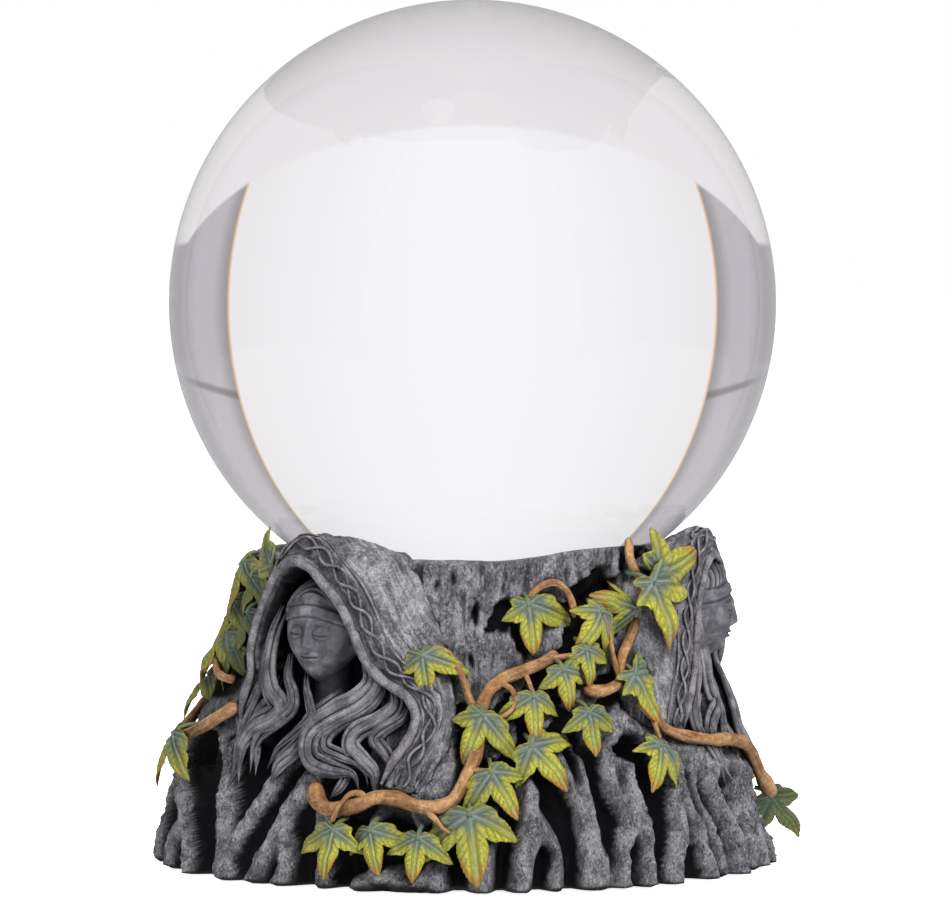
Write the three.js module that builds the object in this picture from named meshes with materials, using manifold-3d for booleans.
// A solid glass crystal ball resting on a cast resin stand shaped as a tree stump. Three hooded
// figures stand round the stump, with ivy vines and leaves between them and a skirt of roots below.
// Millimetres, +Z up, the front is -Y, and the origin is the middle of the felt that it stands on.
// An azimuth is an angle round the stump in degrees: 0 at the front, 90 at +X.

import * as THREE from "three";
import { mergeVertices } from "three/addons/utils/BufferGeometryUtils.js";
import Module from "manifold-3d";

const wasm = await Module();
wasm.setup();

// ---- Driving dimensions ----
const BALL_RADIUS = 55;
const BALL_CENTRE_Z = 101.5;
const SEAT_CLEARANCE = 2.2; // bowl radius less ball radius, which the bumpers fill
const TOUCH_GAP = 0.3; // left between pieces that touch
const STUMP_RIM_Z = 57.2;
const STUMP_RIM_RISE = 1.8; // the rim climbs by this much behind each figure
const STUMP_BOTTOM_Z = 0.3;
const STUMP_NECK_RADIUS = 37.8;
const STUMP_FLARE = 17.4; // how much wider than the neck the foot is
const STUMP_FLARE_HEIGHT = 21;
const STUMP_FLARE_POWER = 2.6;
const LEFT_SWELL = 5.8; // the stump is fuller by this much on its left side
const LEFT_SWELL_Z = 22; // height at which it is fullest
const LEFT_SWELL_HALF_ANGLE = 34;
const LEFT_SWELL_REACH = { below: 16, above: 26 }; // how far the swell fades downwards and upwards
const ROOT_COUNT = 26;
const ROOT_DEPTH = 2.6;
const ROOT_TOP_Z = 32;
const NICHE_DEPTH = 5.5; // hollow in the stump behind each figure's head
const NICHE_HALF_ANGLE = 24;
const NICHE_FOOT = { z: 20, fade: 8 };
const NICHE_TOP = { z: 55, fade: 6 };
const RIM_RISE_HALF_ANGLE = 45;
const FELT_RADIUS = 47;
const FELT_THICKNESS = 1.2;
const BUMPER_RADIUS = 4;
const BUMPER_THICKNESS = 1.2;
const BUMPER_POLAR_ANGLE = 30; // measured from the bottom of the ball
const FIGURE_AZIMUTHS = { maiden: -42, mother: 78, crone: 198 };
const HEAD_YAW = 14; // each head is turned a little to its own left
const HEAD_RADIUS = 39; // from the stump's axis to the middle of the head
const HEAD_Z = { maiden: 43.2, mother: 46.6, crone: 44.4 };
const FACE_HALF_SIZE = [6.4, 7.0, 8.8]; // across, deep and high
const HOOD_THICKNESS = 1.5;
const HOOD_BULGE = 2.6;
const HOOD_MIDDLE_Z = 34; // the hood bulges away from this height on the stump's axis
const HOOD_BULGE_SQUASH = 0.9; // how much of the bulge's upward share is kept
const LEAF_THICKNESS = 0.9;
const LEAF_BEND = 80; // a blade drops by its half width squared over this
const STALK_RADIUS = 0.7;
const ROUND_SIDES = 48; // sides of the felt, its recess and the bowl

const rad = THREE.MathUtils.degToRad;
const point = (x, y, z) => new THREE.Vector3(x, y, z);

// ---- Materials ----
const matte = (color, roughness) => new THREE.MeshStandardMaterial({ color, roughness, metalness: 0 });
const materials = {
  glass: new THREE.MeshStandardMaterial({
    color: 0xf4f4f8,
    roughness: 0.02,
    metalness: 0,
    transparent: true,
    opacity: 0.35,
  }),
  stoneResin: matte(0x5d5a61, 0.75),
  vinePaint: matte(0xa8744c, 0.6),
  leafPaint: matte(0x9a9a2e, 0.55),
  felt: matte(0x1d1c1f, 0.95),
  silicone: matte(0xd8dadc, 0.4),
};

// ---- Shaping helpers ----

// Moves every vertex of a three.js geometry through a function of its position.
function warp(geometry, place) {
  const at = geometry.getAttribute("position");
  const v = new THREE.Vector3();
  for (let i = 0; i < at.count; i++) {
    v.fromBufferAttribute(at, i);
    const moved = place(v.clone());
    at.setXYZ(i, moved.x, moved.y, moved.z);
  }
  return geometry;
}

// A closed three.js geometry as a manifold-3d solid.
function solidOf(geometry) {
  const bare = geometry.clone();
  bare.deleteAttribute("normal");
  bare.deleteAttribute("uv");
  const merged = mergeVertices(bare, 1e-4);
  return new wasm.Manifold(
    new wasm.Mesh({
      numProp: 3,
      vertProperties: merged.getAttribute("position").array,
      triVerts: new Uint32Array(merged.index.array),
    }),
  );
}

// A manifold-3d solid as a three.js geometry.
function geometryOf(solid) {
  const mesh = solid.getMesh();
  return new THREE.BufferGeometry()
    .setAttribute("position", new THREE.BufferAttribute(new Float32Array(mesh.vertProperties), 3))
    .setIndex(new THREE.BufferAttribute(new Uint32Array(mesh.triVerts), 1));
}

// The largest of the bodies that a cut may leave.
const largest = (solid) => solid.decompose().reduce((a, b) => (b.volume() > a.volume() ? b : a));

// three.js cylinders and spheres stand along Y. This stands them along Z, with their seam at the front.
const upright = (v) => point(v.x, -v.z, v.y);

// A rod that follows a curve. radiusAt takes 0 at its start and 1 at its end.
function rodAlong(curve, radiusAt, sides, steps) {
  const frames = curve.computeFrenetFrames(steps);
  return warp(new THREE.CylinderGeometry(1, 1, 1, sides, steps), (v) => {
    const k = Math.round((v.y + 0.5) * steps);
    const radius = radiusAt(k / steps);
    return curve
      .getPointAt(k / steps)
      .addScaledVector(frames.binormals[k], v.x * radius)
      .addScaledVector(frames.normals[k], v.z * radius);
  });
}

// ---- Stump ----

const smooth = (x) => THREE.MathUtils.smoothstep(x, 0, 1);

const stumpRadius = (z) =>
  STUMP_NECK_RADIUS + STUMP_FLARE / (1 + (Math.max(z, 0) / STUMP_FLARE_HEIGHT) ** STUMP_FLARE_POWER);

// 1 on a figure's azimuth, falling to 0 at halfAngle to either side.
function nearFigure(azimuth, halfAngle) {
  const gaps = Object.values(FIGURE_AZIMUTHS).map((a) => Math.abs(((azimuth - a + 540) % 360) - 180));
  return smooth(1 - Math.min(...gaps) / halfAngle);
}

// A bell curve of height 1 at 0, falling to 0.37 at 1.
const bell = (x) => Math.exp(-(x ** 2));

// The flared profile with the swell on its left side.
function swollenRadius(azimuth, z) {
  const offset = ((azimuth + 90 + 540) % 360) - 180;
  const reach = z < LEFT_SWELL_Z ? LEFT_SWELL_REACH.below : LEFT_SWELL_REACH.above;
  const swell = bell(offset / LEFT_SWELL_HALF_ANGLE) * bell((z - LEFT_SWELL_Z) / reach);
  return stumpRadius(z) + LEFT_SWELL * swell;
}

// The stump's wall: the flared profile, hollowed between its roots and behind each head.
function stumpWallRadius(azimuth, z) {
  const rootShare = smooth((ROOT_TOP_Z - z) / 12);
  const betweenRoots = 0.5 - 0.5 * Math.cos(rad(azimuth * ROOT_COUNT));
  const aboveFoot = smooth((z - NICHE_FOOT.z) / NICHE_FOOT.fade);
  const belowTop = smooth((NICHE_TOP.z - z) / NICHE_TOP.fade);
  const nicheShare = aboveFoot * belowTop * nearFigure(azimuth, NICHE_HALF_ANGLE);
  return swollenRadius(azimuth, z) - ROOT_DEPTH * rootShare * betweenRoots - NICHE_DEPTH * nicheShare;
}

// grow swells the stump outwards, which makes the cutter that keeps other pieces clear of it.
function stumpSolid(grow = 0) {
  const sides = ROOT_COUNT * 3;
  const body = warp(new THREE.CylinderGeometry(1, 1, 1, sides, 11), (v) => {
    const azimuth = THREE.MathUtils.radToDeg(Math.atan2(v.x, v.z));
    const level = v.y + 0.5;
    const top = STUMP_RIM_Z + STUMP_RIM_RISE * nearFigure(azimuth, RIM_RISE_HALF_ANGLE);
    const onAxis = Math.hypot(v.x, v.z) < 0.5;
    const z = THREE.MathUtils.lerp(STUMP_BOTTOM_Z - grow, (onAxis ? STUMP_RIM_Z : top) + grow, level);
    const radius = onAxis ? 0 : stumpWallRadius(azimuth, z) + grow;
    return point(Math.sin(rad(azimuth)) * radius, -Math.cos(rad(azimuth)) * radius, z);
  });
  return solidOf(body);
}

// The shallow bowl that holds the ball, and the recess that holds the felt, cut out of the stump.
function stumpCasting() {
  const bowl = new THREE.SphereGeometry(BALL_RADIUS + SEAT_CLEARANCE, ROUND_SIDES, 32);
  warp(bowl, (v) => upright(v).add(point(0, 0, BALL_CENTRE_Z)));
  const recessDepth = FELT_THICKNESS + TOUCH_GAP;
  const recessRadius = FELT_RADIUS + TOUCH_GAP;
  const recess = new THREE.CylinderGeometry(recessRadius, recessRadius, 2 * recessDepth, ROUND_SIDES);
  warp(recess, upright);
  return stumpSolid().subtract(solidOf(bowl)).subtract(solidOf(recess));
}

function feltPad() {
  const pad = new THREE.CylinderGeometry(FELT_RADIUS, FELT_RADIUS, FELT_THICKNESS, ROUND_SIDES);
  return solidOf(warp(pad, (v) => upright(v).add(point(0, 0, FELT_THICKNESS / 2))));
}

function ballSolid(grow = 0) {
  const ball = new THREE.SphereGeometry(BALL_RADIUS + grow, 40, 20);
  return solidOf(warp(ball, (v) => upright(v).add(point(0, 0, BALL_CENTRE_Z))));
}

// A soft disc between the bowl and the ball, square to the ball's surface.
function bumper(azimuth) {
  const disc = new THREE.CylinderGeometry(BUMPER_RADIUS, BUMPER_RADIUS, BUMPER_THICKNESS, 14);
  const fromCentre = BALL_RADIUS + TOUCH_GAP + BUMPER_THICKNESS / 2;
  const placed = new THREE.Matrix4()
    .makeTranslation(0, 0, BALL_CENTRE_Z)
    .multiply(new THREE.Matrix4().makeRotationZ(rad(azimuth)))
    .multiply(new THREE.Matrix4().makeRotationX(rad(-BUMPER_POLAR_ANGLE)))
    .multiply(new THREE.Matrix4().makeTranslation(0, 0, -fromCentre));
  return solidOf(warp(disc, upright).applyMatrix4(placed));
}

// ---- Figures ----
// Points on a figure are [across, out, up]: out is the distance from the stump's axis towards the
// figure, and across is to the viewer's right when the figure is looked at from outside.

const figurePoint = ([across, out, up]) => point(across, -out, up);
const figureCurve = (points) => new THREE.CatmullRomCurve3(points.map(figurePoint), false, "centripetal");
const turned = (geometry, azimuth) => geometry.applyMatrix4(new THREE.Matrix4().makeRotationZ(rad(azimuth)));

// The front edge of the hood, from its lower left corner, over the brow, to its lower right corner.
const HOOD_RIM = figureCurve([
  [-16.2, 45.2, 19],
  [-16, 44, 27],
  [-14.6, 44.4, 33],
  [-12, 45, 40],
  [-10, 45.2, 47.5],
  [-6.4, 45, 54],
  [-1.5, 44.8, 56.4],
  [4.4, 44.8, 53.8],
  [9.2, 44.8, 49.6],
  [12, 44, 44.4],
  [13.2, 43, 39],
  [16.6, 41.6, 35],
  [19.8, 40.6, 31.6],
  [20.8, 41.6, 27.6],
  [20, 43.8, 23.6],
  [19.4, 46, 19.6],
]);

// The line where the hood runs into the stump, with the same ends.
const HOOD_BACK = figureCurve([
  [-19.4, 43.6, 18],
  [-18.8, 40.4, 27],
  [-17.8, 38.6, 33],
  [-16.8, 37.6, 40],
  [-15.4, 37.2, 48],
  [-11.6, 38.4, 55],
  [-4.6, 38.9, 59],
  [4, 38.6, 59.4],
  [11, 37.2, 58.8],
  [16.6, 35.6, 56.4],
  [20, 34.8, 50],
  [23, 34.2, 43],
  [25, 34.4, 36],
  [26.4, 35.4, 29],
  [25.6, 39, 23],
  [24, 43, 18],
]);

// A point of the hood's outer face: u runs along the rim, and v from the rim back to the stump.
function hoodPoint(u, v) {
  const flat = HOOD_RIM.getPoint(u).lerp(HOOD_BACK.getPoint(u), v);
  const away = point(flat.x, flat.y, (flat.z - HOOD_MIDDLE_Z) * HOOD_BULGE_SQUASH).normalize();
  return flat.addScaledVector(away, HOOD_BULGE * Math.sin(Math.PI * v));
}

function hoodSolid(azimuth, grow = 0) {
  const step = 0.01;
  const shell = warp(new THREE.BoxGeometry(1, 1, 1, 15, 4, 1), (v) => {
    const a = THREE.MathUtils.clamp(v.x + 0.5, step, 1 - step);
    const b = THREE.MathUtils.clamp(v.y + 0.5, step, 1 - step);
    const along = hoodPoint(a + step, b).sub(hoodPoint(a - step, b));
    const back = hoodPoint(a, b + step).sub(hoodPoint(a, b - step));
    const out = along.cross(back).normalize();
    const depth = v.z > 0 ? grow : -HOOD_THICKNESS - grow;
    return hoodPoint(v.x + 0.5, v.y + 0.5).addScaledVector(out, depth);
  });
  return solidOf(turned(shell, azimuth));
}

// The head as a plain egg with a nose, looking outwards and turned by HEAD_YAW.
function faceSolid(azimuth, headZ, grow = 0) {
  const [halfAcross, halfDeep, halfHigh] = FACE_HALF_SIZE.map((s) => s + grow);
  const head = warp(new THREE.SphereGeometry(1, 14, 11), (v) => {
    const nose = 1.6 * Math.exp(-((v.x / 0.28) ** 2) - ((v.y + 0.12) / 0.22) ** 2) * smooth(v.z);
    const narrowing = 1 - 0.22 * smooth(-v.y);
    return upright(point(v.x * halfAcross * narrowing, v.y * halfHigh, v.z * halfDeep + nose));
  });
  const placed = new THREE.Matrix4()
    .makeRotationZ(rad(azimuth))
    .multiply(new THREE.Matrix4().makeTranslation(0, -HEAD_RADIUS, headZ))
    .multiply(new THREE.Matrix4().makeRotationZ(rad(HEAD_YAW)));
  return solidOf(head.applyMatrix4(placed));
}

// The run of hair on each side of the face, waving from the temple to the roots.
const HAIR_RUNS = {
  left: [
    [-8.8, 42.4, 47],
    [-10, 43.4, 41],
    [-9.8, 44.4, 35],
    [-7.4, 46, 30.5],
    [-8.6, 47.2, 26.5],
    [-11.6, 48, 22.5],
    [-11.8, 49.2, 18],
  ],
  right: [
    [8.8, 42.4, 45],
    [11, 43, 40],
    [13, 43.2, 35],
    [10.8, 45, 31],
    [7.4, 46.8, 27.5],
    [7.6, 48, 23.5],
    [11.6, 49, 20.5],
    [14.6, 49.8, 18.4],
  ],
};

function hairSolid(azimuth, points, grow = 0) {
  const curve = figureCurve(points);
  const thickness = (t) => 1.5 + 1.3 * Math.sin(Math.PI * (0.15 + 0.7 * t)) + grow;
  return solidOf(turned(rodAlong(curve, thickness, 8, 9), azimuth));
}

// ---- Ivy ----
// A place on the stump is [azimuth, height, lift]: lift is how far outside the flared profile it is.

function onStump([azimuth, z, lift]) {
  const radius = swollenRadius(azimuth, z) + lift;
  return point(Math.sin(rad(azimuth)) * radius, -Math.cos(rad(azimuth)) * radius, z);
}

const VINES = {
  vine_front_main: {
    thick: [1.7, 1.2],
    places: [
      [-35, 18, 1.9],
      [-31, 15.4, 2.1],
      [-25, 14.4, 2.2],
      [-18, 16.2, 2.2],
      [-11, 15.4, 2.1],
      [-5, 15.8, 2],
      [-1.6, 19.6, 2],
      [0.6, 25, 2],
      [1.6, 31, 2],
      [6, 36.4, 1.9],
      [13, 38.4, 1.8],
      [21, 40.8, 1.6],
    ],
  },
  vine_front_left_twig: {
    thick: [0.9, 0.7],
    places: [
      [-0.6, 33.4, 2.6],
      [-3.4, 38.4, 2.6],
      [-6.4, 41.8, 2.8],
      [-10, 42.8, 3],
    ],
  },
  vine_front_arch: {
    thick: [0.9, 0.9],
    places: [
      [14, 51.4, 1.4],
      [17.4, 53.2, 1.8],
      [21, 53.4, 1.8],
      [24.6, 51.4, 1.6],
      [26.2, 48, 1.4],
    ],
  },
  vine_front_right: {
    thick: [1.4, 1],
    places: [
      [27, 34.6, 1.9],
      [32, 34, 1.9],
      [37, 35.4, 1.9],
      [38.6, 39, 1.8],
      [42, 43, 1.7],
      [45, 46.4, 1.6],
    ],
  },
  vine_front_top: {
    thick: [0.9, 0.9],
    places: [
      [43.6, 60, 1],
      [43, 57.4, 1.6],
      [45.4, 54, 1.6],
      [46, 50.8, 1.5],
    ],
  },
  vine_right_wrap: {
    thick: [1.1, 1.7],
    places: [
      [42, 31.6, 1.8],
      [48, 27.4, 2.2],
      [54, 26, 2.4],
      [60, 25.4, 3.6],
      [66, 25.2, 4],
      [72, 24.4, 4],
      [77, 23.2, 3.6],
      [81, 21, 3],
      [85, 17.2, 2.4],
      [90, 12.6, 2.6],
    ],
  },
  vine_left_main: {
    thick: [1.5, 1.1],
    places: [
      [-66, 28.6, 1.8],
      [-73, 25.6, 1.9],
      [-82, 23.2, 1.8],
      [-91, 24.6, 1.8],
      [-99, 30, 1.8],
      [-102, 38, 1.8],
      [-97, 45, 1.8],
      [-91, 51, 1.8],
    ],
  },
  vine_left_twig: {
    thick: [1, 0.8],
    places: [
      [-68, 34.6, 2.2],
      [-74, 35.2, 2.2],
      [-80, 37.4, 2],
      [-84, 41, 1.8],
    ],
  },
  vine_back_main: {
    thick: [1.7, 1.1],
    places: [
      [106, 14.6, 2.1],
      [116, 15.6, 2.2],
      [127, 15, 2.2],
      [136, 18, 2],
      [140, 26, 2],
      [143, 34, 2],
      [150, 39, 1.8],
      [158, 42.6, 1.6],
    ],
  },
  vine_back_twig: {
    thick: [0.9, 0.8],
    places: [
      [133, 45.6, 1.5],
      [128, 49.6, 1.8],
      [122, 51.4, 1.6],
    ],
  },
};

function vineSolid({ thick, places }, grow = 0) {
  const curve = new THREE.CatmullRomCurve3(places.map(onStump), false, "centripetal");
  const steps = Math.ceil(curve.getLength() / 3);
  return solidOf(rodAlong(curve, (t) => THREE.MathUtils.lerp(thick[0], thick[1], t) + grow, 6, steps));
}

// Each leaf: azimuth, height and lift of the end of its stalk, roll from hanging straight down
// towards +azimuth, tilt of its tip away from the stump, and length from stalk to tip.
const LEAVES = {
  front: [
    { azimuth: -11, z: 41.6, lift: 5.2, roll: 8, tilt: 2, length: 7.4 },
    { azimuth: 13.8, z: 50.2, lift: 3.4, roll: 8, tilt: 4, length: 9.2 },
    { azimuth: 31.2, z: 47, lift: 5.4, roll: -30, tilt: 6, length: 8.4 },
    { azimuth: 44, z: 48.4, lift: 3.6, roll: -112, tilt: 4, length: 8.8 },
    { azimuth: 44.5, z: 54.8, lift: 4.6, roll: 108, tilt: 6, length: 12 },
    { azimuth: 48.4, z: 53.2, lift: 6.2, roll: 8, tilt: 2, length: 13 },
    { azimuth: 27, z: 40.6, lift: 4.6, roll: 6, tilt: 4, length: 5.4 },
    { azimuth: 20, z: 38.6, lift: 6, roll: 15, tilt: 0, length: 7.4 },
    { azimuth: 13.4, z: 34, lift: 4.6, roll: 1, tilt: 6, length: 7.8 },
    { azimuth: 25.6, z: 31, lift: 4.6, roll: 8, tilt: 2, length: 7.8 },
    { azimuth: 41, z: 36.6, lift: 4.6, roll: 22, tilt: 4, length: 10 },
    { azimuth: 2, z: 31, lift: 5.4, roll: -22, tilt: 0, length: 8.8 },
    { azimuth: 12.4, z: 25.8, lift: 4.4, roll: 38, tilt: 2, length: 10.4 },
    { azimuth: 43, z: 24.6, lift: 3.8, roll: -26, tilt: 2, length: 8.8 },
    { azimuth: 3.6, z: 21.4, lift: 5, roll: 30, tilt: 4, length: 9.2 },
    { azimuth: -0.6, z: 14.4, lift: 5.2, roll: 7, tilt: 0, length: 12.4 },
    { azimuth: -9.6, z: 10.4, lift: 4.4, roll: -5, tilt: 2, length: 7.8 },
    { azimuth: -18.6, z: 11.4, lift: 4.2, roll: 16, tilt: 0, length: 8 },
    { azimuth: -25.6, z: 11, lift: 5.6, roll: -9, tilt: 2, length: 9 },
    { azimuth: 89, z: 13, lift: 6.4, roll: 20, tilt: 2, length: 9.2 },
  ],
  left: [
    { azimuth: -57, z: 57.6, lift: 3.8, roll: -80, tilt: 8, length: 9 },
    { azimuth: -80, z: 55.4, lift: 2.4, roll: -6, tilt: 24, length: 10 },
    { azimuth: -86, z: 47.6, lift: 2, roll: 4, tilt: 26, length: 9.5 },
    { azimuth: -82, z: 42.6, lift: 2, roll: -6, tilt: 34, length: 10.5 },
    { azimuth: -79, z: 24.6, lift: 4.8, roll: -16, tilt: 4, length: 10.5 },
    { azimuth: -106, z: 47, lift: 4.6, roll: 12, tilt: 8, length: 10 },
  ],
  back: [
    { azimuth: 120, z: 50.4, lift: 4, roll: 6, tilt: 6, length: 10 },
    { azimuth: 136, z: 45, lift: 4.4, roll: -14, tilt: 6, length: 10.4 },
    { azimuth: 159, z: 42, lift: 4.8, roll: 14, tilt: 6, length: 9.4 },
    { azimuth: 144.6, z: 31, lift: 4.8, roll: 10, tilt: 2, length: 9 },
    { azimuth: 130, z: 27, lift: 4.2, roll: -20, tilt: 2, length: 9.4 },
    { azimuth: 121, z: 13.6, lift: 5.2, roll: -4, tilt: 0, length: 10.6 },
  ],
};

// The outline of a five-lobed ivy leaf of unit length as [angle from the midrib, distance from the stalk].
const LEAF_OUTLINE = [
  [0, 1],
  [22, 0.64],
  [48, 0.86],
  [78, 0.52],
  [106, 0.66],
  [154, 0.28],
];

// The blade, with a stalk from its foot into the stump.
function leafSolid({ azimuth, z, lift, roll, tilt, length }, grow = 0) {
  const size = length + grow;
  const half = LEAF_OUTLINE.map(([angle, reach]) => {
    return [reach * Math.sin(rad(angle)), -reach * Math.cos(rad(angle))];
  });
  const mirrored = half
    .slice(1)
    .reverse()
    .map(([x, y]) => [-x, y]);
  const outline = [...half, ...mirrored].map(([x, y]) => new THREE.Vector2(x * size, y * size));
  const depth = LEAF_THICKNESS + 2 * grow;
  const blade = new THREE.ExtrudeGeometry(new THREE.Shape(outline), { depth, bevelEnabled: false });
  // The blade bends back round the stump on both sides.
  warp(blade, (v) => point(v.x, v.y, v.z - depth / 2 - (v.x * v.x) / LEAF_BEND));
  const foot = onStump([azimuth, z, lift]);
  const slope = stumpRadius(z - 2) - stumpRadius(z + 2);
  const leaning = Math.atan2(slope, 4);
  const placed = new THREE.Matrix4()
    .makeTranslation(foot)
    .multiply(new THREE.Matrix4().makeRotationZ(rad(azimuth)))
    .multiply(new THREE.Matrix4().makeRotationX(Math.PI / 2 - leaning - rad(tilt)))
    .multiply(new THREE.Matrix4().makeRotationZ(rad(roll)));
  const stalk = new THREE.LineCurve3(foot, onStump([azimuth, z + 1.5, -1]));
  return solidOf(blade.applyMatrix4(placed)).add(solidOf(rodAlong(stalk, () => STALK_RADIUS + grow, 5, 1)));
}

// ---- Assembly ----

const group = new THREE.Group();

function addMesh(name, solid, material) {
  const mesh = new THREE.Mesh(geometryOf(solid), material);
  mesh.name = name;
  group.add(mesh);
}

// Glued-on pieces, each cut clear of the stump, of the ball's way out and of the pieces before it.
const stumpCutter = stumpSolid(TOUCH_GAP + 0.05);
const ballCutter = ballSolid(TOUCH_GAP + 0.15);
const fitted = [];

function overlaps(a, b) {
  return [0, 1, 2].every((k) => a.min[k] <= b.max[k] && b.min[k] <= a.max[k]);
}

// make(grow) gives the piece, swollen by grow when it serves as a cutter for later pieces.
function addFitted(name, make, material) {
  const whole = make(0);
  const box = whole.boundingBox();
  let cut = whole.subtract(stumpCutter).subtract(ballCutter);
  for (const other of fitted) {
    if (overlaps(box, other.box)) cut = cut.subtract(other.cutter);
  }
  const kept = largest(cut);
  const cutter = make(TOUCH_GAP);
  fitted.push({ cutter, box: cutter.boundingBox() });
  addMesh(name, kept, material);
}

addMesh("crystal_ball", ballSolid(), materials.glass);
addMesh("stump_casting", stumpCasting(), materials.stoneResin);
addMesh("felt_base_pad", feltPad(), materials.felt);

Object.values(FIGURE_AZIMUTHS).forEach((azimuth, i) => {
  addMesh(`seat_bumper_${i + 1}`, bumper(azimuth + 60), materials.silicone);
});

for (const [figure, azimuth] of Object.entries(FIGURE_AZIMUTHS)) {
  addFitted(`${figure}_face`, (grow) => faceSolid(azimuth, HEAD_Z[figure], grow), materials.stoneResin);
  for (const [side, run] of Object.entries(HAIR_RUNS)) {
    addFitted(`${figure}_hair_${side}`, (grow) => hairSolid(azimuth, run, grow), materials.stoneResin);
  }
  addFitted(`${figure}_hood`, (grow) => hoodSolid(azimuth, grow), materials.stoneResin);
}

for (const [name, vine] of Object.entries(VINES)) {
  addFitted(name, (grow) => vineSolid(vine, grow), materials.vinePaint);
}

for (const [side, leaves] of Object.entries(LEAVES)) {
  leaves.forEach((leaf, i) => {
    const name = `ivy_leaf_${side}_${String(i + 1).padStart(2, "0")}`;
    addFitted(name, (grow) => leafSolid(leaf, grow), materials.leafPaint);
  });
}

export default group;
